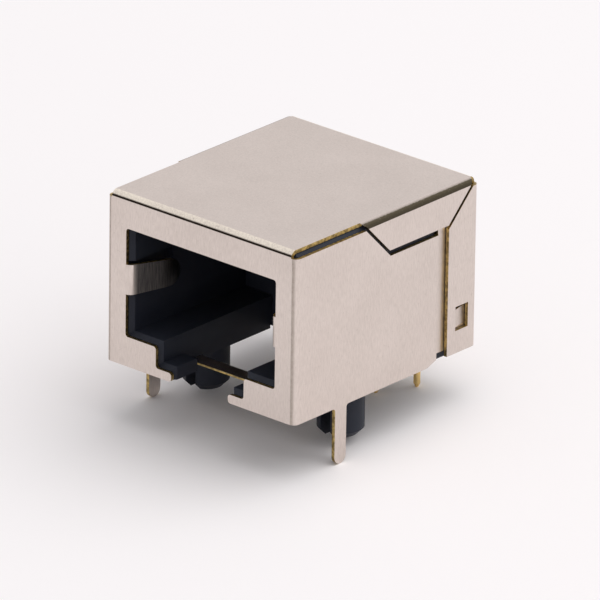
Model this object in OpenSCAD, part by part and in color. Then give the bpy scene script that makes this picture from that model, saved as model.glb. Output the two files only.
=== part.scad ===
// Shielded modular jack for an 8-way plug: right angle, through hole, latch side towards the board.
// The board surface is z = 0, the plug enters along +Y, and the origin is midway between the two
// locating pegs. Modules below are written from the outer face of the front panel (y = 0 there).

/* [Envelope] */
// Width over the shield
body_w = 16; // [15.9:0.1:17.5]
// Depth over the shield, front panel to rear panel
body_d = 17.6; // [17:0.1:20]
// Height of the shield above the board
body_h = 11.75; // [11.6:0.05:14]

/* [Sheet metal] */
// Thickness of the shield's sheet
sheet_t = 0.25; // [0.2:0.01:0.28]
// Outside radius of every fold
fold_r = 0.45; // [0.4:0.05:0.55]
// Gap left where two edges of the sheet meet
seam_gap = 0.22; // [0.1:0.02:0.24]
// Gap left under the lower edge of each top flap
flap_gap = 0.38; // [0.2:0.02:0.6]
// Radius of the corners punched in the sheet
punch_r = 0.22; // [0.1:0.02:0.3]

/* [Plug cavity] */
// Width of the plug cavity
cavity_w = 12.05; // [11.8:0.05:12.3]
// Height of the plug cavity, ledges to ceiling
cavity_h = 6.84; // [6.7:0.02:7.2]
// Height of the ledges above the board
ledge_z = 2.33; // [2.2:0.01:2.8]
// Width of the latch channel between the ledges
channel_w = 7.1; // [6.6:0.1:7.6]
// Height of the latch stops above the board
stop_z = 0.89; // [0.8:0.01:1.2]
// Gap between the two latch stops
stop_gap = 4.8; // [4:0.1:5.2]
// Thickness of the latch stops behind the front panel
stop_d = 2.5; // [2:0.1:2.8]
// Lead-in chamfer round the mouth
lead_in = 0.28; // [0.1:0.02:0.28]
// How far the panel's opening stands back from the cavity
lip = 0.29; // [0.29:0.01:0.5]
// How far the panel's latch slot stands back from the latch channel
slot_lip = 0.17; // [0.1:0.01:0.3]

/* [Top flaps and wings] */
// Distance from the front to the top of each flap's front edge
flap_start = 6.49; // [6:0.01:8]
// How far each flap hangs below the top
flap_drop = 2.48; // [2:0.02:3]
// Distance from the rear to where the level lower edge of each flap ends
flap_back = 2.94; // [2.8:0.02:3]
// Distance from the rear to where the outer skin of each side plate ends
side_back = 3.93; // [3.8:0.01:4.1]
// Length of each rear wing along the side
wing_l = 2.9; // [2.75:0.05:2.95]
// Height of the wings and the rear panel above the board
wing_lift = 0.2; // [0:0.05:0.4]
// Height of each side tongue's lower edge above the board
tongue_lift = 0.58; // [0.3:0.02:1]
// Lower edge of each wing's window above the board
window_z = 1.75; // [1.2:0.05:2.5]
// Height of each wing's window
window_h = 1.66; // [1.4:0.02:2.2]
// Length of each wing's window along the side
window_d = 1.22; // [1:0.02:1.3]
// Distance from each wing's front edge to its window
window_in = 0.78; // [0.6:0.02:0.9]

/* [Spring fingers] */
// Height of each finger at its root
finger_h = 2.05; // [1.9:0.05:2.4]
// Height of each finger where its rounded tip starts
finger_end = 1.85; // [1.4:0.05:1.9]
// Height of each finger's centre line above the board
finger_z = 5.95; // [5.7:0.05:6.4]
// Inward lean of each finger in degrees
finger_lean = 20; // [12:1:22]
// Length of each finger's straight part
finger_l = 2.05; // [1.6:0.05:2.4]
// Radius of the curve near each finger's tip
finger_r = 4.1; // [3.5:0.1:5]

/* [Tabs, pegs and strap] */
// Distance from the front to the centre of each solder tab
tab_y = 4.45; // [4:0.05:5.4]
// Width of each solder tab
tab_w = 1.08; // [0.8:0.02:1.4]
// Length of each solder tab below the board surface
tab_l = 3.92; // [3:0.02:4.5]
// Distance from the front to the locating pegs
peg_y = 7.1; // [6.8:0.1:8]
// Distance between the two locating pegs
peg_span = 11.43; // [11.2:0.01:11.5]
// Radius of each locating peg
peg_r = 1.53; // [1.4:0.01:1.62]
// Length of each locating peg below the board surface
peg_l = 3.2; // [2.4:0.05:3.6]
// Width of the slit that splits each peg
peg_slit = 0.8; // [0.5:0.05:0.85]
// Distance from the front to the strap's front edge
strap_y = 3.3; // [3.1:0.05:3.6]
// Width of the strap
strap_w = 1.1; // [1:0.05:1.6]
// Thickness of the strap
strap_t = 0.15; // [0.1:0.01:0.25]
// Height of the strap's two legs
strap_leg = 2.2; // [1.2:0.1:2.6]

/* [Contacts] */
// Diameter of the contact wire
wire_d = 0.45; // [0.4:0.01:0.48]
// Spacing of the contacts in the cavity
plug_pitch = 1.016; // [1:0.004:1.02]
// Spacing of the contacts along the board
board_pitch = 1.27; // [1.2:0.01:1.3]
// Distance from the rear to the rear row of pins
row_back = 1.61; // [1.5:0.01:1.8]
// Distance between the two rows of pins
row_gap = 2.54; // [2.4:0.02:2.6]
// Length of each pin below the board surface
pin_l = 3.25; // [2.6:0.05:3.6]
// Depth of the wires' level run below the top
run_drop = 1.4; // [1.3:0.05:1.45]
// Centre-line radius of the bend above each pin
bend_r = 0.8; // [0.6:0.05:1]
// Centre-line radius of the turn at each spring's front end
turn_r = 0.75; // [0.6:0.05:0.8]
// Distance from the front to the centre of that turn
turn_y = 3.55; // [3.4:0.05:4]
// Downward slope of the spring arms in degrees
arm_slope = 22; // [18:1:23]
// Depth of the contact carrier, front to rear
carrier_d = 6.25; // [6:0.05:6.6]

/* [Fits] */
// Clearance between the shield and the housing
shell_fit = 0.05; // [0.03:0.01:0.08]
// Clearance between the housing and the contact carrier
carrier_fit = 0.05; // [0.03:0.01:0.08]
// Clearance round each wire in its bore
bore_fit = 0.03; // [0.02:0.01:0.05]
// Clearance on each side of a wire in a slot
slot_fit = 0.1; // [0.05:0.01:0.12]

/* [Hidden] */
$fn = 48;

past = 1;                                        // overrun of cutting shapes
contact_count = 8;
wire_r = wire_d / 2;
run_z = body_h - run_drop;                       // height of the wires' level run
joint_r = 1.1 * wire_r;                          // rounds off the kinks of a wire

// Shield
side_top = body_h - sheet_t - seam_gap;          // top edge of the side plates
flat_x = body_w / 2 - fold_r;                    // half width of the flat between folds
fold_z = body_h - fold_r;                        // height at which the top folds start
back_fold_y = body_d - fold_r;                   // depth at which the rear folds start
inner_x = body_w / 2 - sheet_t;                  // inner face of the side plates
mouth_w = cavity_w + 2 * lip;
mouth_z = ledge_z - lip;
mouth_top = ledge_z + cavity_h + lip;
slot_w = channel_w + 2 * slot_lip;
foot_z = stop_z - lip;
flap_z = body_h - flap_drop;                     // lower edge of the flaps
flap_end = body_d - flap_back;
side_end = body_d - side_back;
wing_start = body_d - wing_l;
flap_root = 0.5;                                 // radius of the relief at each flap's front root
cut_z = flap_z - flap_gap;                       // lower edge of the cut-outs
slant_gap = seam_gap / cos(45);
crop_y = 0.9;                                    // length and height of the side plates' cropped corner
crop_z = 0.32;
tongue_x = inner_x - shell_fit;                  // outer face of the tongues
joggle = body_w / 2 - tongue_x;                  // step from the side plate in to its tongue
joggle_y = side_end - sheet_t * tan(22.5);       // where the inner face starts to step
window_y = wing_start + window_in;

// Spring fingers
finger_run = finger_l * cos(finger_lean) + finger_r * sin(finger_lean);
finger_tip = fold_r * (1 - sin(finger_lean)) + finger_run;
finger_room = 0.5;                               // depth of the housing's recess behind each finger
finger_clear = 0.15;

// Housing
rim_y = sheet_t + shell_fit;                     // front face
back_y = body_d - sheet_t - shell_fit;           // rear face
roof_z = body_h - sheet_t - shell_fit;           // top face
housing_x = inner_x - shell_fit;                 // half width
waist_x = tongue_x - sheet_t - shell_fit;        // half width between the tongues
waist_y = joggle_y - shell_fit;
edge_break = fold_r - sheet_t;                   // chamfer that clears the inside of the folds
ceiling_z = ledge_z + cavity_h;
relief_z = 0.75;                                 // height of the relief along the channel's foot
relief_d = 0.12;
peg_taper = 0.45;                                // length of each peg's tapered end
strap_bend = 0.4;                                // outside radius of the strap's two folds

// Contact carrier
carrier_y = back_y - carrier_fit - carrier_d;    // front face
cavity_d = carrier_y - carrier_fit;              // where the plug cavity ends
carrier_wall = 1.2;                              // wall outside the outermost pins
carrier_x = board_x(contact_count) + wire_r + carrier_wall;
carrier_z = 0.2;                                 // height of the base above the board
rail_w = 0.5;
rail_h = 2;
rail_z = 4;
rail_in = 0.8;                                   // how far the rails start behind the front face
slot_x = wire_r + slot_fit;                      // half width of a wire's slot
comb_d = 1.2;                                    // depth of the slots in the front face
comb_drop = 0.3;                                 // room left under the free end of each spring

// Contacts
pin_tip = 0.25;
arm_y = turn_y - turn_r * sin(arm_slope);
arm_z = run_z - turn_r - turn_r * cos(arm_slope);
arm_l = (carrier_y + comb_d / 2 - arm_y) / cos(arm_slope);
arm_low = arm_z - arm_l * sin(arm_slope);
fan_in = 0.2;                                    // how far behind the carrier's face the wires spread
fan_y = carrier_y + fan_in;
row_b = body_d - row_back;                       // the rear row of pins
row_a = row_b - row_gap;                         // the front row of pins
fan_l = row_a - bend_r - fan_y;                  // length over which they spread

function plug_x(k) = (k - (contact_count + 1) / 2) * plug_pitch;
function board_x(k) = (k - (contact_count + 1) / 2) * board_pitch;
function pin_y(k) = k % 2 == 0 ? row_b : row_a;

// ---- shared shapes ----

// Extrudes a front view (X across, Z up) from y0 to y1.
module from_front(y0, y1) {
    translate([0, y1, 0]) rotate([90, 0, 0]) linear_extrude(y1 - y0) children();
}

// Extrudes a side view (Y across, Z up) from x0 to x1.
module from_side(x0, x1) {
    translate([x0, 0, 0]) rotate([90, 0, 90]) linear_extrude(x1 - x0) children();
}

module both_sides() {
    children();
    mirror([1, 0, 0]) children();
}

// A box given by its two opposite corners.
module block(a, b) {
    translate(a) cube(b - a);
}

// The sliver between a square corner at the origin and the arc that rounds it.
module nook(r) {
    difference() {
        square(r);
        translate([r, r]) circle(r);
    }
}

// Rounds the corner at the origin between a level edge on its left and a 45 degree edge falling to its right.
module corner_fill(r) {
    run = r * tan(22.5);
    difference() {
        polygon([[-run, 0], [0, 0], [run * cos(45), -run * sin(45)]]);
        translate([-run, -r]) circle(r);
    }
}

// Quarter ring of sheet, with its outer arc running from the +X side to the +Y side.
module fold() {
    intersection() {
        difference() {
            circle(fold_r);
            circle(fold_r - sheet_t);
        }
        square(fold_r);
    }
}

// Wedge from the +X side round to the given angle, under 90 degrees.
module wedge(reach, angle) {
    polygon([[0, 0], [reach, 0], [reach, reach * tan(angle / 2)], [reach * cos(angle), reach * sin(angle)]]);
}

// ---- shield: one folded sheet ----

// The shaped opening in the front panel, seen from the front.
module mouth() {
    difference() {
        translate([-mouth_w / 2, mouth_z]) square([mouth_w, mouth_top - mouth_z]);
        both_sides() {
            translate([-mouth_w / 2, mouth_z]) nook(punch_r);
            translate([-mouth_w / 2, mouth_top]) mirror([0, 1]) nook(punch_r);
        }
    }
    difference() {
        translate([-slot_w / 2, foot_z]) square([slot_w, mouth_z - foot_z]);
        both_sides() translate([-slot_w / 2, foot_z]) nook(punch_r);
    }
    translate([-stop_gap / 2, -past]) square([stop_gap, foot_z + past]);
    both_sides() {
        translate([slot_w / 2, mouth_z]) mirror([0, 1]) nook(punch_r);
        translate([stop_gap / 2, foot_z]) mirror([0, 1]) nook(punch_r);
        translate([stop_gap / 2, 0]) nook(punch_r);
    }
}

module front_panel() {
    from_front(0, sheet_t) difference() {
        translate([-flat_x, 0]) square([2 * flat_x, fold_z]);
        mouth();
    }
}

// Solder tab seen from the side, with its root rounded into the plate.
module solder_tab() {
    translate([tab_y - tab_w / 2, tab_w / 2 - tab_l]) square([tab_w, tab_l - tab_w / 2]);
    translate([tab_y, tab_w / 2 - tab_l]) circle(tab_w / 2);
    translate([tab_y + tab_w / 2, 0]) mirror([0, 1]) nook(punch_r);
    translate([tab_y - tab_w / 2, 0]) rotate(180) nook(punch_r);
}

// Side plate seen from the side: cut away for the flap and cropped at its lower rear corner.
module side_outline() {
    cut = flap_start + body_h - slant_gap;
    polygon([
        [fold_r, 0], [side_end - crop_y, 0], [side_end, crop_z], [side_end, cut_z],
        [cut - cut_z, cut_z], [cut - side_top, side_top], [fold_r, side_top],
    ]);
    solder_tab();
}

// Plan of the tongue that steps in behind the rear wing.
module tongue_plan() {
    tip_y = back_fold_y - seam_gap;
    polygon([
        [body_w / 2, side_end], [tongue_x, side_end + joggle], [tongue_x, tip_y],
        [tongue_x - sheet_t, tip_y], [tongue_x - sheet_t, joggle_y + joggle],
        [inner_x, joggle_y], [inner_x, side_end - crop_y], [body_w / 2, side_end - crop_y],
    ]);
}

// Tongue with a lance pushed out of it, which the wing's window snaps over.
module side_tongue() {
    lance_y = window_y + shell_fit;
    lance_end = window_y + window_d - 2 * shell_fit;
    low = window_z + seam_gap;
    high = window_z + window_h - seam_gap;
    difference() {
        union() {
            translate([0, 0, tongue_lift]) linear_extrude(cut_z - tongue_lift) tongue_plan();
            block([tongue_x - sheet_t, side_end + joggle, cut_z],
                [tongue_x, back_fold_y - seam_gap, flap_z + seam_gap]);
        }
        block([0, lance_y - shell_fit, low - shell_fit], [body_w, lance_end, high + shell_fit]);
    }
    translate([0, 0, low]) linear_extrude(high - low) polygon([
        [tongue_x - sheet_t, lance_end], [tongue_x, lance_end],
        [body_w / 2 - shell_fit, lance_y], [tongue_x - shell_fit, lance_y],
    ]);
}

module side_plate() {
    from_side(inner_x, body_w / 2) side_outline();
    side_tongue();
    translate([flat_x, fold_r, 0]) mirror([0, 1, 0]) linear_extrude(side_top) fold();
}

// Top plate with its folds down to the front panel and the rear panel.
module top_plate() {
    block([-flat_x, fold_r, body_h - sheet_t], [flat_x, back_fold_y, body_h]);
    from_side(-flat_x, flat_x) {
        translate([fold_r, fold_z]) mirror([1, 0]) fold();
        translate([back_fold_y, fold_z]) fold();
    }
}

// Flap folded down from the top plate over the cut-out in the side plate.
module top_flap() {
    intersection() {
        union() {
            block([inner_x, flap_start, flap_z], [body_w / 2, back_fold_y, fold_z]);
            translate([flat_x, back_fold_y, fold_z]) rotate([90, 0, 0])
                linear_extrude(back_fold_y - flap_start) fold();
        }
        from_side(flat_x, body_w / 2) {
            polygon([
                [flap_start, body_h], [flap_start + flap_drop, flap_z],
                [flap_end, flap_z], [flap_end + flap_drop, body_h],
            ]);
            translate([flap_start, body_h]) corner_fill(flap_root);
        }
    }
}

// Wing folded forward from the rear panel, cut on a slant to clear the flap.
module rear_wing() {
    slant = flap_end + slant_gap - flap_z;
    from_side(inner_x, body_w / 2) difference() {
        polygon([
            [wing_start, wing_lift], [back_fold_y, wing_lift], [back_fold_y, fold_z],
            [fold_z + slant, fold_z], [wing_start, wing_start - slant],
        ]);
        translate([window_y, window_z]) square([window_d, window_h]);
    }
    translate([flat_x, back_fold_y, wing_lift]) linear_extrude(fold_z - wing_lift) fold();
}

module rear_panel() {
    from_front(body_d - sheet_t, body_d)
        translate([-flat_x, wing_lift]) square([2 * flat_x, fold_z - wing_lift]);
}

// Plan of a spring finger that folds in from the mouth's edge, leans inward and curves straight.
module finger_plan() {
    translate([0, fold_r]) rotate(-finger_lean) {
        intersection() {
            difference() {
                circle(fold_r);
                circle(fold_r - sheet_t);
            }
            mirror([0, 1]) wedge(2 * fold_r, 90 - finger_lean);
        }
        translate([fold_r - sheet_t, 0]) square([sheet_t, finger_l]);
        translate([fold_r - finger_r, finger_l]) intersection() {
            difference() {
                circle(finger_r);
                circle(finger_r - sheet_t);
            }
            wedge(2 * finger_r, finger_lean);
        }
    }
}

module spring_finger() {
    root_r = finger_h / 2;
    end_r = finger_end / 2;
    end_y = finger_tip - end_r;
    intersection() {
        translate([-mouth_w / 2, 0, finger_z - root_r]) linear_extrude(finger_h) finger_plan();
        from_side(-body_w / 2, 0) translate([0, finger_z]) {
            polygon([
                [0, root_r], [fold_r, root_r], [end_y, end_r],
                [end_y, -end_r], [fold_r, -root_r], [0, -root_r],
            ]);
            translate([end_y, 0]) circle(end_r);
        }
    }
}

module shield() {
    color("Gainsboro") translate([0, -peg_y, 0]) {
        front_panel();
        top_plate();
        rear_panel();
        both_sides() {
            side_plate();
            top_flap();
            rear_wing();
            spring_finger();
        }
    }
}

// ---- housing: black moulding with the plug cavity ----

// Outer form: a box that narrows between the tongues, with its edges broken to clear the folds.
module housing_body() {
    intersection() {
        linear_extrude(roof_z) both_sides() polygon([
            [0, rim_y], [housing_x - edge_break, rim_y], [housing_x, rim_y + edge_break],
            [housing_x, waist_y], [waist_x, waist_y + housing_x - waist_x], [waist_x, back_y], [0, back_y],
        ]);
        from_front(0, body_d) both_sides() polygon([
            [0, 0], [housing_x, 0], [housing_x, roof_z - edge_break],
            [housing_x - edge_break, roof_z], [0, roof_z],
        ]);
        from_side(-body_w, body_w) polygon([
            [0, 0], [body_d, 0], [body_d, roof_z - edge_break - body_d + back_y],
            [back_y - edge_break, roof_z], [rim_y + edge_break, roof_z], [0, roof_z - edge_break - rim_y],
        ]);
    }
}

// Pocket cut in from the front with a lead-in chamfer all round its mouth.
module flared_pocket(w, z0, z1, depth) {
    flare = lead_in + past;
    intersection() {
        translate([0, 0, z0 - flare]) linear_extrude(z1 - z0 + 2 * flare) both_sides() polygon([
            [0, rim_y - past], [w / 2 + flare, rim_y - past], [w / 2, rim_y + lead_in],
            [w / 2, depth], [0, depth],
        ]);
        from_side(-body_w, body_w) polygon([
            [rim_y - past, z0 - flare], [rim_y + lead_in, z0], [depth, z0],
            [depth, z1], [rim_y + lead_in, z1], [rim_y - past, z1 + flare],
        ]);
    }
}

// Plug cavity, latch channel and the gap between the latch stops.
module plug_space() {
    flared_pocket(cavity_w, ledge_z, ceiling_z, cavity_d + past);
    flared_pocket(channel_w, stop_z, ledge_z + past, cavity_d + past);
    flared_pocket(stop_gap, -past, stop_z + past, stop_d + past);
    block([-channel_w / 2, stop_d, -past], [channel_w / 2, cavity_d + past, stop_z + past]);
    block([-channel_w / 2 - relief_d, strap_y - shell_fit, -past],
        [channel_w / 2 + relief_d, cavity_d + past, relief_z]);
}

module finger_recess() {
    half = finger_h / 2 + finger_clear;
    block([cavity_w / 2 - past, rim_y - past, finger_z - half],
        [cavity_w / 2 + finger_room, finger_tip + finger_room, finger_z + half]);
}

// Slots in the cavity's ceiling that the springs hang through.
module spring_slots() {
    for (k = [1:contact_count])
        block([plug_x(k) - slot_x, turn_y - turn_r - slot_x, ceiling_z - past],
            [plug_x(k) + slot_x, cavity_d + past, run_z + slot_x]);
}

// Open-backed pocket and side grooves for the contact carrier.
module carrier_pocket() {
    x = carrier_x + carrier_fit;
    block([-x, cavity_d, -past], [x, body_d, body_h]);
    block([-x - rail_w, carrier_y + rail_in - carrier_fit, rail_z - carrier_fit],
        [x + rail_w, body_d, rail_z + rail_h + carrier_fit]);
}

// Channel for the strap across the underside and up both flanks.
module strap_recess() {
    y0 = strap_y - shell_fit;
    y1 = strap_y + strap_w + shell_fit;
    bed = strap_t + shell_fit;
    block([-body_w, y0, -past], [body_w, y1, bed]);
    both_sides() {
        block([housing_x - bed, y0, -past], [body_w, y1, strap_leg + shell_fit]);
        from_front(y0, y1) translate([housing_x - bed, bed]) mirror([1, 0]) nook(strap_bend - bed);
    }
}

// Locating peg, slit up to its root so that its two prongs spring into the hole.
module locating_peg() {
    translate([peg_span / 2, peg_y, 0]) difference() {
        union() {
            translate([0, 0, peg_taper - peg_l]) cylinder(h = peg_l - peg_taper, r = peg_r);
            translate([0, 0, -peg_l]) cylinder(h = peg_taper, r1 = peg_r - peg_taper, r2 = peg_r);
        }
        translate([-peg_slit / 2, -2 * peg_r, -peg_l - past])
            cube([peg_slit, 4 * peg_r, peg_l + past]);
    }
}

module housing() {
    color("#15181f") translate([0, -peg_y, 0]) {
        difference() {
            housing_body();
            plug_space();
            both_sides() finger_recess();
            spring_slots();
            carrier_pocket();
            strap_recess();
        }
        both_sides() locating_peg();
    }
}

// ---- contact carrier: black moulding that holds the wires and closes the back ----

// A groove of the wire's slot width along a level line, open at the top.
module groove(from, to) {
    d = to - from;
    translate([from.x, from.y, run_z - slot_x]) {
        rotate(atan2(d.y, d.x)) translate([0, -slot_x, 0]) cube([norm(d), 2 * slot_x, body_h]);
        cylinder(h = body_h, r = slot_x);
    }
}

// Everything that is cut away for one wire.
module wire_path(k) {
    fan_end = fan_y + fan_l;
    translate([board_x(k), pin_y(k), -past]) cylinder(h = run_z + past, r = wire_r + bore_fit);
    groove([plug_x(k), fan_y], [plug_x(k), carrier_y - past]);
    groove([board_x(k), fan_end], [plug_x(k), fan_y]);
    groove([board_x(k), pin_y(k)], [board_x(k), fan_end]);
    block([board_x(k) - slot_x, pin_y(k) - bend_r, run_z - bend_r], [board_x(k) + slot_x, pin_y(k), body_h]);
    block([plug_x(k) - slot_x, carrier_y - past, arm_low - wire_r - comb_drop],
        [plug_x(k) + slot_x, carrier_y + comb_d, ceiling_z]);
}

module contact_carrier() {
    rear = back_y - carrier_fit;
    color("#1c2028") translate([0, -peg_y, 0]) difference() {
        union() {
            block([-carrier_x, carrier_y, carrier_z], [carrier_x, rear, roof_z - carrier_fit]);
            block([-carrier_x - rail_w, carrier_y + rail_in, rail_z],
                [carrier_x + rail_w, rear, rail_z + rail_h]);
        }
        for (k = [1:contact_count]) wire_path(k);
    }
}

// ---- latch strap: sheet folded round the housing's underside ----

module latch_strap() {
    flat = housing_x - strap_bend;
    color("Gainsboro") translate([0, -peg_y, 0]) from_front(strap_y, strap_y + strap_w) {
        translate([-flat, 0]) square([2 * flat, strap_t]);
        both_sides() {
            translate([flat, strap_bend]) difference() {
                intersection() {
                    circle(strap_bend);
                    mirror([0, 1]) square(strap_bend);
                }
                circle(strap_bend - strap_t);
            }
            translate([housing_x - strap_t, strap_bend]) square([strap_t, strap_leg - strap_bend]);
        }
    }
}

// ---- contacts: round wire, from the board pin up, forward and back down into the cavity ----

// Straight wire between two points at the same height.
module level_wire(from, to) {
    d = to - from;
    translate([from.x, from.y, run_z]) rotate([0, 90, atan2(d.y, d.x)]) cylinder(h = norm(d), r = wire_r);
}

// Bend in a plane across X: the wire turns about y, z from one angle on by another.
module wire_bend(x, y, z, r, start, turn) {
    translate([x, y, z]) rotate([90, 0, 90]) rotate(start)
        rotate_extrude(angle = turn) translate([r, 0]) circle(wire_r);
}

module contact(k) {
    plug = plug_x(k);
    board = board_x(k);
    foot = pin_y(k);
    fan_end = fan_y + fan_l;
    color("Gold") translate([0, -peg_y, 0]) {
        translate([board, foot, -pin_l]) {
            cylinder(h = pin_tip, r1 = wire_r / 2, r2 = wire_r);
            translate([0, 0, pin_tip]) cylinder(h = pin_l - pin_tip + run_z - bend_r, r = wire_r);
        }
        wire_bend(board, foot - bend_r, run_z - bend_r, bend_r, 0, 90);
        if (foot - bend_r > fan_end) level_wire([board, foot - bend_r], [board, fan_end]);
        translate([board, fan_end, run_z]) cylinder(h = 2 * joint_r, r = joint_r, center = true);
        level_wire([board, fan_end], [plug, fan_y]);
        translate([plug, fan_y, run_z]) cylinder(h = 2 * joint_r, r = joint_r, center = true);
        level_wire([plug, fan_y], [plug, turn_y]);
        wire_bend(plug, turn_y, run_z - turn_r, turn_r, 90, 180 - arm_slope);
        translate([plug, arm_y, arm_z]) {
            sphere(joint_r);
            rotate([-90 - arm_slope, 0, 0]) cylinder(h = arm_l, r = wire_r);
        }
    }
}

shield();
housing();
contact_carrier();
latch_strap();
contact(1);  // contact_1
contact(2);  // contact_2
contact(3);  // contact_3
contact(4);  // contact_4
contact(5);  // contact_5
contact(6);  // contact_6
contact(7);  // contact_7
contact(8);  // contact_8
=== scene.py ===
"""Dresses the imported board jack: folded shield, latch strap, two black mouldings and eight sprung wires."""

import logging
import math
from dataclasses import dataclass, field
from enum import Enum
from typing import Any, Sequence, Union

import bmesh
import bpy
from mathutils import Matrix, Vector
from mathutils.bvhtree import BVHTree


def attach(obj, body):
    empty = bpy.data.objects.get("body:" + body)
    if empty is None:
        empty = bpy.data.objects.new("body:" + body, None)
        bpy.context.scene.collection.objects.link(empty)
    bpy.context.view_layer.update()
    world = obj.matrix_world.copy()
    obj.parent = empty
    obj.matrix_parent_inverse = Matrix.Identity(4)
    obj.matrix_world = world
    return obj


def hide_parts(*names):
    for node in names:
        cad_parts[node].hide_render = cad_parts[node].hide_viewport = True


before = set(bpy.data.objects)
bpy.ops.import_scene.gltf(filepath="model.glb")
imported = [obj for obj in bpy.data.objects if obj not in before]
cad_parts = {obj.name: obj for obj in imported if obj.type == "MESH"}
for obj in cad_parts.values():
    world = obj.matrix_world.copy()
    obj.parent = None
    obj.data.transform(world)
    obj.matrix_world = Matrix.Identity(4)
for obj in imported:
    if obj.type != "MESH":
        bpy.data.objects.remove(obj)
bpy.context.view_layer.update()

MM = 0.001
log = logging.getLogger("board_jack")

Colour = tuple[float, float, float]
Triple = tuple[float, float, float]
Span = tuple[float, float]
Number = Union[float, "Signal"]

# The Mix node's colour sockets, which share their names with its other kinds.
MIX_FIRST, MIX_SECOND, MIX_RESULT = 6, 7, 2


class Skin(Enum):
    """The kinds of surface on a stamped and folded sheet, in slot order."""

    PLATED = 0
    CUT = 1
    FRONT_FOLD = 2
    SIDE_FOLD = 3
    UPRIGHT_FOLD = 4
    FINGER = 5


# Which of a face normal's X, Y and Z parts are tilted, and the fold that such a face lies on.
FOLDS: dict[tuple[bool, ...], Skin] = {
    (False, True, True): Skin.FRONT_FOLD,
    (True, False, True): Skin.SIDE_FOLD,
    (True, True, False): Skin.UPRIGHT_FOLD,
}


# ---- shader maths ----


@dataclass(frozen=True)
class Mottle:
    """A noise over a surface: the size of its features in millimetres and how they break up."""

    stretch: Triple
    detail: float = 2.0
    roughness: float = 0.5

    @classmethod
    def even(cls, size: float, detail: float = 2.0, roughness: float = 0.5) -> "Mottle":
        """A mottle of one size along every axis."""
        return cls((size, size, size), detail, roughness)


@dataclass(frozen=True)
class Signal:
    """A number that varies over a surface, with arithmetic that adds Math nodes."""

    kit: "ShaderKit"
    socket: bpy.types.NodeSocket

    def _math(self, operation: str, first: Number, second: Number) -> "Signal":
        """Adds one Math node.

        Args:
            operation: the Math node's operation.
            first: its first value or signal.
            second: its second value or signal.

        Returns:
            The node's result.
        """
        return self.kit.add("ShaderNodeMath", {"operation": operation}, {0: first, 1: second})

    def __add__(self, other: Number) -> "Signal":
        """Sum."""
        return self._math("ADD", self, other)

    def __radd__(self, other: Number) -> "Signal":
        """Reflected sum."""
        return self._math("ADD", other, self)

    def __sub__(self, other: Number) -> "Signal":
        """Difference."""
        return self._math("SUBTRACT", self, other)

    def __rsub__(self, other: Number) -> "Signal":
        """Reflected difference."""
        return self._math("SUBTRACT", other, self)

    def __mul__(self, other: Number) -> "Signal":
        """Product."""
        return self._math("MULTIPLY", self, other)

    def __rmul__(self, other: Number) -> "Signal":
        """Reflected product."""
        return self._math("MULTIPLY", other, self)

    def size(self) -> "Signal":
        """The signal without its sign."""
        return self._math("ABSOLUTE", self, 0.0)

    def clamp(self) -> "Signal":
        """The signal held between 0 and 1."""
        return self._math("MINIMUM", self._math("MAXIMUM", self, 0.0), 1.0)

    def band(self, low: float, high: float) -> "Signal":
        """A smooth step from 0 at low to 1 at high."""
        return self.kit.add(
            "ShaderNodeMapRange",
            {"interpolation_type": "SMOOTHSTEP", "clamp": True},
            {"Value": self, "From Min": low, "From Max": high, "To Min": 0.0, "To Max": 1.0},
        )


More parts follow.
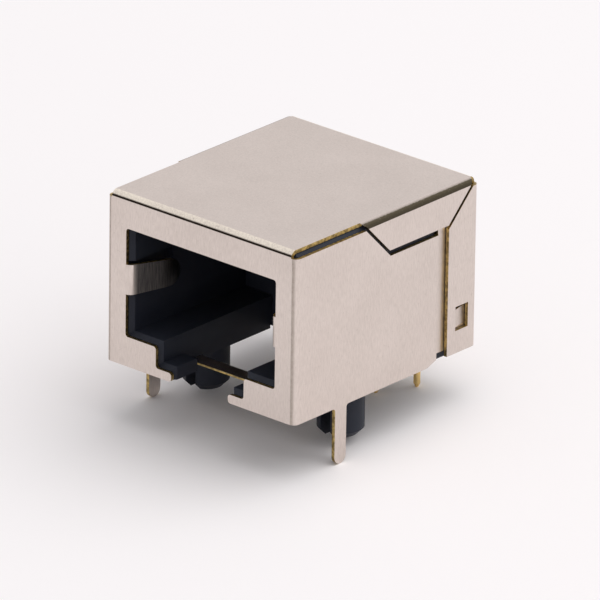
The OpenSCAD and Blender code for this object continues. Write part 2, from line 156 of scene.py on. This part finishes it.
@dataclass
class ShaderKit:
    """Builds one material's nodes."""

    name: str
    material: bpy.types.Material = field(init=False)
    shader: bpy.types.Node = field(init=False)

    def __post_init__(self) -> None:
        """Starts the material with its shader node."""
        self.material = bpy.data.materials.new(self.name)
        self.material.use_nodes = True
        self.shader = next(n for n in self.material.node_tree.nodes if n.type == "BSDF_PRINCIPLED")

    def link(self, source: Any, target: bpy.types.NodeSocket) -> None:
        """Feeds a socket from a signal, or sets it to a plain value.

        Args:
            source: a Signal, a node socket, a number or a colour.
            target: the socket to feed or set.
        """
        if isinstance(source, Signal):
            source = source.socket
        if isinstance(source, bpy.types.NodeSocket):
            self.material.node_tree.links.new(source, target)
        elif target.type == "RGBA" and len(source) == 3:
            target.default_value = (*source, 1.0)
        else:
            target.default_value = source

    def add(self, kind: str, settings: dict[str, Any], inputs: dict[Any, Any], output: Any = 0) -> Signal:
        """Adds a node of any kind.

        Args:
            kind: the node's type name.
            settings: attributes to set before its sockets.
            inputs: socket name or number to value, signal or socket.
            output: which output to return.

        Returns:
            The chosen output as a signal.
        """
        node = self.material.node_tree.nodes.new(kind)
        for key, value in settings.items():
            setattr(node, key, value)
        for key, value in inputs.items():
            self.link(value, node.inputs[key])
        return Signal(self, node.outputs[output])

    def along(self, axis: str) -> Signal:
        """The object coordinate along one axis, X, Y or Z, in millimetres."""
        where = self.add("ShaderNodeTexCoord", {}, {}, "Object")
        return self.add("ShaderNodeSeparateXYZ", {}, {"Vector": where}, axis) * (1 / MM)

    def place(self, stretch: Sequence[float]) -> Signal:
        """Object coordinates in millimetres, divided by a stretch along each axis."""
        where = self.add("ShaderNodeTexCoord", {}, {}, "Object")
        return self.add("ShaderNodeMapping", {}, {"Vector": where, "Scale": [1 / (MM * s) for s in stretch]})

    def noise(self, mottle: Mottle) -> Signal:
        """Adds a mottle's noise.

        Args:
            mottle: the noise's size and break-up.

        Returns:
            The noise, from 0 to 1.
        """
        where = self.place(mottle.stretch)
        values = {"Vector": where, "Scale": 1.0, "Detail": mottle.detail, "Roughness": mottle.roughness}
        return self.add("ShaderNodeTexNoise", {}, values)

    def blend(self, amount: Number, first: Any, second: Any) -> Signal:
        """Mixes two colours by an amount from 0 to 1."""
        values = {"Factor": amount, MIX_FIRST: first, MIX_SECOND: second}
        return self.add("ShaderNodeMix", {"data_type": "RGBA"}, values, MIX_RESULT)

    def relief(self, height: Signal, depth: float) -> None:
        """Turns a height signal into a bump of the given depth in millimetres."""
        values = {"Height": height, "Distance": depth * MM, "Strength": 1.0}
        self.link(self.add("ShaderNodeBump", {}, values, "Normal"), self.shader.inputs["Normal"])

    def set(self, **values: Any) -> None:
        """Feeds or sets the shader's sockets, named in lower case with underscores."""
        for key, value in values.items():
            self.link(value, self.shader.inputs[key.replace("_", " ").title().replace("Ior", "IOR")])


# ---- finishes ----
# Sizes and depths are in millimetres. A share is how far a mottle moves the colour.


@dataclass(frozen=True)
class PlatedSheet:
    """Satin nickel plate over rolled brass sheet."""

    light: Colour = (0.73, 0.65, 0.60)
    dark: Colour = (0.56, 0.49, 0.445)
    roughness: float = 0.30
    grain: Mottle = Mottle((0.09, 0.09, 0.5), 3.0, 0.65)
    grain_roughness: float = 0.12
    grain_depth: float = 0.0015
    cloud: Mottle = Mottle.even(4.0)
    cloud_share: float = 0.25
    tone_edges: Span = (0.25, 0.75)
    tone_share: float = 0.75
    pit: Mottle = Mottle.even(0.13, 1.0)
    pit_edges: Span = (0.66, 0.76)
    pit_share: float = 0.35

    def coat(self, kit: ShaderKit) -> tuple[Signal, Signal]:
        """The plate's colour and its grain, from 0 to 1.

        Args:
            kit: the material being built.

        Returns:
            The colour, and the grain that also drives the roughness and relief.
        """
        grain = kit.noise(self.grain)
        cloud = kit.noise(self.cloud)
        pits = kit.noise(self.pit).band(*self.pit_edges)
        tone = (self.cloud_share * cloud + (1 - self.cloud_share) * grain).band(*self.tone_edges)
        dulled = (self.pit_share * pits + (1 - tone) * self.tone_share).clamp()
        return kit.blend(dulled, self.light, self.dark), grain

    def make(self, name: str) -> bpy.types.Material:
        """Builds the material: rolling grain, faint clouds in the plate and a few pits.

        Args:
            name: the material's name.

        Returns:
            The material.
        """
        kit = ShaderKit(name)
        colour, grain = self.coat(kit)
        kit.set(base_color=colour, metallic=1.0, roughness=self.roughness + self.grain_roughness * grain)
        kit.relief(grain, self.grain_depth)
        return kit.material


@dataclass(frozen=True, kw_only=True)
class CrazedShadedFold(PlatedSheet):
    """Plate crazed where the sheet was folded tightly, with painted shade along the fold for the dark that
    the bend reflects.

    The painted shade runs across one axis of the part: it starts, is full, stays full and ends at the four
    distances from the middle given by its edges, in millimetres.
    """

    fold_shade: Colour
    amount: float
    axis: str
    edges: tuple[float, float, float, float]
    craze: Mottle = Mottle.even(0.12, 3.0, 0.7)
    least_craze: float = 0.55
    craze_share: float = 0.9
    craze_roughness: float = 0.25
    craze_depth: float = 0.006

    def make(self, name: str) -> bpy.types.Material:
        """Builds the material: the plate with a painted shade along the fold, speckled by the crazing.

        Args:
            name: the material's name.

        Returns:
            The material.
        """
        kit = ShaderKit(name)
        colour, _ = self.coat(kit)
        across = kit.along(self.axis).size()
        start, full, kept, end = self.edges
        craze = kit.noise(self.craze)
        # Painted shade along the fold, broken up by the crazing speckle.
        along_fold = across.band(start, full) * (1 - across.band(kept, end))
        shade_and_marks = along_fold * (self.least_craze + self.craze_share * craze) * self.amount
        kit.set(
            base_color=kit.blend(shade_and_marks.clamp(), colour, self.fold_shade),
            metallic=1.0,
            roughness=self.roughness + self.craze_roughness * craze,
        )
        kit.relief(craze, self.craze_depth)
        return kit.material


@dataclass(frozen=True)
class ShadedBrushedFinger(PlatedSheet):
    """The spring fingers' inner skin, marked with scores by the die, with painted shade that deepens towards
    the fingers' tips.
    """

    roughness: float = 0.28
    scored_shade: Colour = (0.10, 0.095, 0.095)
    tip_shade: Colour = (0.02, 0.02, 0.022)
    root_y: float = -6.85
    tip_y: float = -3.9
    score_start: float = 0.35
    tip_start: float = 1.6
    tip_shade_share: float = 0.85
    score: Mottle = Mottle((0.05, 0.05, 1.2), 3.0, 0.7)
    least_score: float = 0.5
    score_share: float = 0.8
    score_roughness: float = 0.2
    score_depth: float = 0.004

    def make(self, name: str) -> bpy.types.Material:
        """Builds the material: upright scores that start at the root with painted shade over them, and deeper
        painted shade at the far end.

        Args:
            name: the material's name.

        Returns:
            The material.
        """
        kit = ShaderKit(name)
        colour, _ = self.coat(kit)
        depth = kit.along("Y")
        scores = kit.noise(self.score)
        # Painted shade: it starts at the root, follows the scores, and deepens to near black towards the far
        # end.
        start = depth.band(self.root_y, self.root_y + self.score_start)
        end = depth.band(self.root_y + self.tip_start, self.tip_y)
        shade_and_marks = (start * (self.least_score + self.score_share * scores)).clamp()
        base = kit.blend(shade_and_marks, colour, self.scored_shade)
        kit.set(
            base_color=kit.blend((end * self.tip_shade_share).clamp(), base, self.tip_shade),
            metallic=1.0,
            roughness=self.roughness + self.score_roughness * scores,
        )
        kit.relief(scores, self.score_depth)
        return kit.material


@dataclass(frozen=True)
class CutBrass:
    """Bare brass where the sheet was cut after plating."""

    bright: Colour = (0.64, 0.47, 0.18)
    dull: Colour = (0.20, 0.145, 0.06)
    roughness: float = 0.30
    shear: Mottle = Mottle.even(0.06)
    shear_roughness: float = 0.2
    shear_depth: float = 0.004
    tarnish: Mottle = Mottle.even(0.25, 3.0)
    tarnish_edges: Span = (0.25, 0.70)

    def make(self, name: str) -> bpy.types.Material:
        """Builds the material: fine shear marks and uneven tarnish.

        Args:
            name: the material's name.

        Returns:
            The material.
        """
        kit = ShaderKit(name)
        shear = kit.noise(self.shear)
        tarnish = kit.noise(self.tarnish).band(*self.tarnish_edges)
        kit.set(
            base_color=kit.blend(tarnish, self.bright, self.dull),
            metallic=1.0,
            roughness=self.roughness + self.shear_roughness * shear,
        )
        kit.relief(shear, self.shear_depth)
        return kit.material


@dataclass(frozen=True)
class BlackMoulding:
    """Glass-filled black plastic with a fine satin texture."""

    deep: Colour = (0.017, 0.020, 0.031)
    pale: Colour = (0.026, 0.031, 0.044)
    roughness: float = 0.42
    gloss: float = 0.22
    spark: Mottle = Mottle.even(0.07, 2.0, 0.6)
    spark_roughness: float = 0.12
    spark_depth: float = 0.004
    flow: Mottle = Mottle((2.2, 5.0, 1.6))
    flow_edges: Span = (0.35, 0.7)
    flow_share: float = 0.7
    flow_roughness: float = 0.08
    speck: Mottle = Mottle.even(0.09, 0.0)
    speck_edges: Span = (0.76, 0.82)
    speck_share: float = 0.5

    def make(self, name: str) -> bpy.types.Material:
        """Builds the material: fine spark texture, flow marks and pale specks.

        Args:
            name: the material's name.

        Returns:
            The material.
        """
        kit = ShaderKit(name)
        spark = kit.noise(self.spark)
        flow = kit.noise(self.flow)
        speck = kit.noise(self.speck).band(*self.speck_edges)
        marks = (flow.band(*self.flow_edges) * self.flow_share + self.speck_share * speck).clamp()
        kit.set(
            base_color=kit.blend(marks, self.deep, self.pale),
            roughness=self.roughness + self.spark_roughness * spark + self.flow_roughness * flow,
            specular_ior_level=self.gloss,
        )
        kit.relief(spark, self.spark_depth)
        return kit.material


@dataclass(frozen=True)
class GoldWire:
    """Gold flash over drawn spring wire."""

    bright: Colour = (0.86, 0.62, 0.26)
    deep: Colour = (0.62, 0.40, 0.14)
    roughness: float = 0.22
    drawn: Mottle = Mottle((0.03, 0.6, 0.6))
    drawn_share: float = 0.2
    drawn_roughness: float = 0.12
    drawn_depth: float = 0.002
    thin: Mottle = Mottle((0.5, 1.4, 1.4))
    thin_edges: Span = (0.5, 0.8)
    thin_share: float = 0.7
    thin_roughness: float = 0.1

    def make(self, name: str) -> bpy.types.Material:
        """Builds the material: drawing marks on the wire and thin patches in the plate.

        Args:
            name: the material's name.

        Returns:
            The material.
        """
        kit = ShaderKit(name)
        drawn = kit.noise(self.drawn)
        thin = kit.noise(self.thin).band(*self.thin_edges)
        kit.set(
            base_color=kit.blend(self.thin_share * thin + self.drawn_share * drawn, self.bright, self.deep),
            metallic=1.0,
            roughness=self.roughness + self.drawn_roughness * drawn + self.thin_roughness * thin,
        )
        kit.relief(drawn, self.drawn_depth)
        return kit.material


@dataclass(frozen=True)
class PaleFloor:
    """Plain pale paper that keeps the shadow and throws less light back up into it."""

    tint: Colour = (0.965, 0.95, 0.957)
    bounce: Colour = (0.50, 0.46, 0.46)
    roughness: float = 0.9
    fibre: Mottle = Mottle.even(6.0, 3.0)
    fibre_tint: Colour = (1.0, 1.0, 1.0)
    fibre_share: float = 0.02

    def make(self, name: str) -> bpy.types.Material:
        """Builds the material: the tint as seen, and a darker one in light that it bounces.

        Args:
            name: the material's name.

        Returns:
            The material.
        """
        kit = ShaderKit(name)
        fibre = kit.noise(self.fibre)
        paper = kit.blend(self.fibre_share * fibre, self.tint, self.fibre_tint)
        bounced = kit.add("ShaderNodeLightPath", {}, {}, "Is Diffuse Ray")
        kit.set(
            base_color=kit.blend(bounced, paper, self.bounce),
            roughness=self.roughness,
            specular_ior_level=0.0,
        )
        return kit.material


# ---- pieces ----


def stand(name: str, data: bpy.types.ID) -> bpy.types.Object:
    """Puts an object with the given data in the scene.

    Args:
        name: the object's name.
        data: its mesh, lamp or camera.

    Returns:
        The object.
    """
    thing = bpy.data.objects.new(name, data)
    bpy.context.scene.collection.objects.link(thing)
    return thing


def settle(name: str, mesh: bmesh.types.BMesh, finishes: Sequence[bpy.types.Material]) -> bpy.types.Object:
    """Turns a finished bmesh into an object in the scene, and frees it.

    Args:
        name: the object's name.
        mesh: the bmesh.
        finishes: its materials, in slot order.

    Returns:
        The object.
    """
    data = bpy.data.meshes.new(name)
    mesh.to_mesh(data)
    mesh.free()
    for finish in finishes:
        data.materials.append(finish)
    return stand(name, data)


@dataclass
class Sheetwork:
    """A CAD sheet part redrawn with softened edges and a finish for each kind of skin.

    Lengths are in millimetres and angles in degrees. The finger sizes bound the spring fingers:
    low and high in Z, front and back in Y, and how far they reach from the middle in X.
    """

    node: str
    slot: str
    sheet: float
    finishes: dict[Skin, bpy.types.Material]
    weld: float = 0.0004
    ray_start: float = 0.002
    sheet_slack: float = 1.5
    tilt: float = 0.1
    flat_angle: float = 0.5
    soften: float = 0.03
    soften_segments: int = 2
    soften_angle: float = 35.0
    panel_weight: int = 100
    finger_low: float = 4.8
    finger_high: float = 7.1
    finger_front: float = -7.02
    finger_back: float = 0.0
    finger_reach: float = 6.4

    def merged(self) -> bmesh.types.BMesh:
        """Copies the CAD node's mesh and merges it.

        Returns:
            The copy, with its corners joined and its faces turned outwards.
        """
        mesh = bmesh.new()
        mesh.from_mesh(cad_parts[self.node].data)
        bmesh.ops.remove_doubles(mesh, verts=mesh.verts, dist=self.weld * MM)
        bmesh.ops.dissolve_degenerate(mesh, dist=self.weld * MM, edges=mesh.edges)
        bmesh.ops.recalc_face_normals(mesh, faces=mesh.faces)
        return mesh

    def on_finger(self, middle: Vector) -> bool:
        """Tells whether a point lies on a spring finger.

        Args:
            middle: the point, in metres.

        Returns:
            True where the point is inside the fingers' bounds.
        """
        x, y, z = middle / MM
        inside = abs(x) < self.finger_reach and self.finger_low < z < self.finger_high
        return inside and self.finger_front < y < self.finger_back

    def skin(self, tree: BVHTree, face: bmesh.types.BMFace) -> Skin:
        """Sorts a face by what lies behind it and by which way it looks.

        Args:
            tree: ray lookup over the whole part.
            face: the face to sort.

        Returns:
            CUT where the sheet's other skin isn't one thickness behind, and else the kind of skin.
        """
        middle, look = face.calc_center_median(), face.normal
        depth = tree.ray_cast(middle - look * self.ray_start * MM, -look)[3]
        if depth is None or depth > self.sheet_slack * self.sheet * MM:
            return Skin.CUT
        if self.on_finger(middle):
            return Skin.FINGER
        return FOLDS.get(tuple(abs(part) > self.tilt for part in look), Skin.PLATED)

    def soften_edges(self, piece: bpy.types.Object) -> None:
        """Rounds the piece's edges and keeps its panels' shading flat.

        Args:
            piece: the piece to finish.
        """
        bevel = piece.modifiers.new("softened edges", "BEVEL")
        bevel.width = self.soften * MM
        bevel.segments = self.soften_segments
        bevel.limit_method = "ANGLE"
        bevel.angle_limit = math.radians(self.soften_angle)
        bevel.use_clamp_overlap = True
        flats = piece.modifiers.new("flat panels", "WEIGHTED_NORMAL")
        flats.weight = self.panel_weight
        flats.keep_sharp = False

    def build(self) -> bpy.types.Object:
        """Makes the piece and puts it in the CAD node's place.

        Returns:
            The piece.
        """
        mesh = self.merged()
        tree = BVHTree.FromBMesh(mesh)
        order = [skin for skin in Skin if skin in self.finishes]
        for face in mesh.faces:
            skin = self.skin(tree, face)
            face.material_index = order.index(skin if skin in order else Skin.PLATED)
            face.smooth = True
        bmesh.ops.dissolve_limit(
            mesh, angle_limit=math.radians(self.flat_angle), use_dissolve_boundaries=False,
            verts=mesh.verts, edges=mesh.edges, delimit={"MATERIAL"},
        )
        piece = settle(self.node + "_sheetwork", mesh, [self.finishes[skin] for skin in order])
        self.soften_edges(piece)
        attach(piece, "root")
        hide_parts(self.node)
        return piece


@dataclass
class CarriedNode:
    """A CAD node that keeps its mesh and takes a finish."""

    node: str
    finish: bpy.types.Material

    def dress(self) -> bpy.types.Object:
        """Puts the finish in every material slot of the node.

        Returns:
            The node's object.
        """
        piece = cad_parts[self.node]
        if not piece.data.materials:
            piece.data.materials.append(self.finish)
        for number in range(len(piece.data.materials)):
            piece.data.materials[number] = self.finish
        return piece


# ---- studio ----


@dataclass(frozen=True)
class SoftBox:
    """A square soft lamp, with its place, side and aim in metres and its power in watts."""

    name: str
    spot: Triple
    side: float
    power: float
    tint: Colour
    aim: Triple = (0.0, 0.0, 0.004)

    def hang(self) -> bpy.types.Object:
        """Hangs the lamp so that it faces its aim.

        Returns:
            The lamp.
        """
        data = bpy.data.lights.new(self.name, "AREA")
        data.shape = "SQUARE"
        data.size = self.side
        data.energy = self.power
        data.color = self.tint
        box = stand(self.name, data)
        spot = Vector(self.spot)
        turn = (Vector(self.aim) - spot).to_track_quat("-Z", "Y")
        box.matrix_world = Matrix.Translation(spot) @ turn.to_matrix().to_4x4()
        return box


@dataclass
class Studio:
    """Pale floor, soft lights and the camera.

    The camera's angles are in degrees. Lengths are in millimetres, except the camera's reach and
    the floor's half side, which are in metres. Each foot is a Y and a Z that the floor meets.
    """

    azimuth: float = 40.985
    elevation: float = 22.665
    roll: float = 0.824
    distance: float = 734.8
    shift: Span = (6.3692, 5.8524)
    lens: float = 697.22
    sensor: float = 36.0
    reach: Span = (0.01, 10.0)
    front_to_pegs: float = 7.1
    tab_foot: Span = (-2.65, -3.92)
    pin_foot: Span = (8.89, -3.25)
    floor_gap: float = 0.002
    floor_half: float = 1.5
    floor_cells: int = 8
    surround_tint: Colour = (1.0, 0.98, 0.99)
    surround_light: float = 0.60
    surround_seen: float = 0.86
    lamps: tuple[SoftBox, ...] = (
        SoftBox("key", spot=(0.24, 0.20, 0.80), side=0.85, power=3.7, tint=(1.0, 0.98, 0.975)),
        SoftBox("right", spot=(1.0, -0.10, 0.45), side=1.1, power=2.0, tint=(1.0, 0.97, 0.95)),
    )

    def axes(self) -> Matrix:
        """Works out how the camera is turned.

        Returns:
            The camera's right, up and back directions as columns.
        """
        turn, lift, lean = (math.radians(a) for a in (self.azimuth, self.elevation, self.roll))
        back = Vector((math.sin(turn) * math.cos(lift), -math.cos(turn) * math.cos(lift), math.sin(lift)))
        right = Vector((math.cos(turn), math.sin(turn), 0.0))
        up = back.cross(right)
        level = Matrix((right, up, back)).transposed()
        return level @ Matrix.Rotation(lean, 3, "Z")

    def camera(self) -> bpy.types.Object:
        """Creates the camera and makes it the scene's.

        Returns:
            The camera.
        """
        data = bpy.data.cameras.new("camera")
        data.sensor_width = self.sensor
        data.lens = self.lens
        data.clip_start, data.clip_end = self.reach
        eye = stand("camera", data)
        axes = self.axes()
        place = axes @ Vector((*self.shift, self.distance)) - Vector((0.0, self.front_to_pegs, 0.0))
        eye.matrix_world = Matrix.Translation(place * MM) @ axes.to_4x4()
        bpy.context.scene.camera = eye
        return eye

    def floor(self, finish: bpy.types.Material) -> bpy.types.Object:
        """Lays the floor so that it meets the tab tips and the rear pin tips.

        Args:
            finish: the floor's material.

        Returns:
            The floor.
        """
        (y0, z0), (y1, z1) = self.tab_foot, self.pin_foot
        cells = self.floor_cells
        mesh = bmesh.new()
        bmesh.ops.create_grid(mesh, x_segments=cells, y_segments=cells, size=self.floor_half)
        slope = math.atan2(z1 - z0, y1 - y0)
        bmesh.ops.transform(mesh, matrix=Matrix.Rotation(slope, 4, "X"), verts=mesh.verts)
        drop = z0 - y0 * math.tan(slope) - self.floor_gap
        bmesh.ops.translate(mesh, vec=Vector((0.0, 0.0, drop * MM)), verts=mesh.verts)
        sheet = settle("floor", mesh, [finish])
        return sheet

    def surround(self) -> None:
        """Makes a plain pale world, brighter to the camera, metal and glass than to matt surfaces."""
        world = bpy.data.worlds.new("surround")
        bpy.context.scene.world = world
        world.use_nodes = True
        nodes, links = world.node_tree.nodes, world.node_tree.links
        ground = nodes["Background"]
        ground.inputs["Color"].default_value = (*self.surround_tint, 1.0)
        path = nodes.new("ShaderNodeLightPath")
        seen = path.outputs["Is Camera Ray"]
        for ray in ("Is Glossy Ray", "Is Transmission Ray"):
            either = nodes.new("ShaderNodeMath")
            either.operation = "MAXIMUM"
            links.new(seen, either.inputs[0])
            links.new(path.outputs[ray], either.inputs[1])
            seen = either.outputs[0]
        strength = nodes.new("ShaderNodeMapRange")
        links.new(seen, strength.inputs["Value"])
        strength.inputs["To Min"].default_value = self.surround_light
        strength.inputs["To Max"].default_value = self.surround_seen
        links.new(strength.outputs["Result"], ground.inputs["Strength"])

    def build(self) -> None:
        """Sets the whole studio up."""
        bpy.context.scene.view_settings.view_transform = "Standard"
        self.camera()
        self.floor(PaleFloor().make("pale_floor"))
        self.surround()
        for lamp in self.lamps:
            lamp.hang()


def sheet_finishes() -> dict[Skin, bpy.types.Material]:
    """Makes the shield's finish for each kind of skin.

    Returns:
        The materials by skin.
    """
    # Each fold's dark colour is painted shade, the dark reflection that the bend shows.
    front = CrazedShadedFold(
        axis="Z", edges=(11.28, 11.36, 11.45, 11.56), fold_shade=(0.02, 0.014, 0.01), amount=1.2,
        # This pale cream tone is a painted highlight over the front fold's faces.
        light=(0.95, 0.88, 0.76),
    )
    side = CrazedShadedFold(axis="Z", edges=(11.22, 11.36, 11.66, 11.77), fold_shade=(0.07, 0.058, 0.038), amount=1.1)
    upright = CrazedShadedFold(
        axis="X", edges=(7.52, 7.62, 7.72, 7.88), fold_shade=(0.22, 0.18, 0.145), amount=0.55,
        craze=Mottle.even(0.2, 3.0, 0.7),
    )
    return {
        Skin.PLATED: PlatedSheet().make("nickel_plate"),
        Skin.CUT: CutBrass().make("cut_brass"),
        Skin.FRONT_FOLD: front.make("front_fold"),
        Skin.SIDE_FOLD: side.make("side_fold"),
        Skin.UPRIGHT_FOLD: upright.make("upright_fold"),
        Skin.FINGER: ShadedBrushedFinger().make("shaded_brushed_finger"),
    }


def main() -> None:
    """Builds the studio, the finishes and every piece, and reports them."""
    logging.basicConfig(level=logging.INFO, format="%(name)s: %(message)s")
    Studio().build()
    shell = sheet_finishes()
    flat = {skin: shell[skin] for skin in (Skin.PLATED, Skin.CUT)}
    black = BlackMoulding().make("black_moulding")
    insert = BlackMoulding(roughness=0.5, spark=Mottle.even(0.1, 2.0, 0.6)).make("carrier_moulding")
    gold = GoldWire().make("gold_wire")
    for sheetwork in (
        Sheetwork("shield", "nickel_plate", sheet=0.25, finishes=shell),
        Sheetwork("latch_strap", "nickel_plate", sheet=0.15, finishes=flat),
    ):
        log.info("made %s", sheetwork.build().name)
    wires = [n for n in sorted(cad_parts) if n.startswith("contact_") and n != "contact_carrier"]
    carried = [CarriedNode("housing", black), CarriedNode("contact_carrier", insert)]
    carried += [CarriedNode(name, gold) for name in wires]
    for part in carried:
        log.info("dressed %s", part.dress().name)


if __name__ == "__main__":
    main()
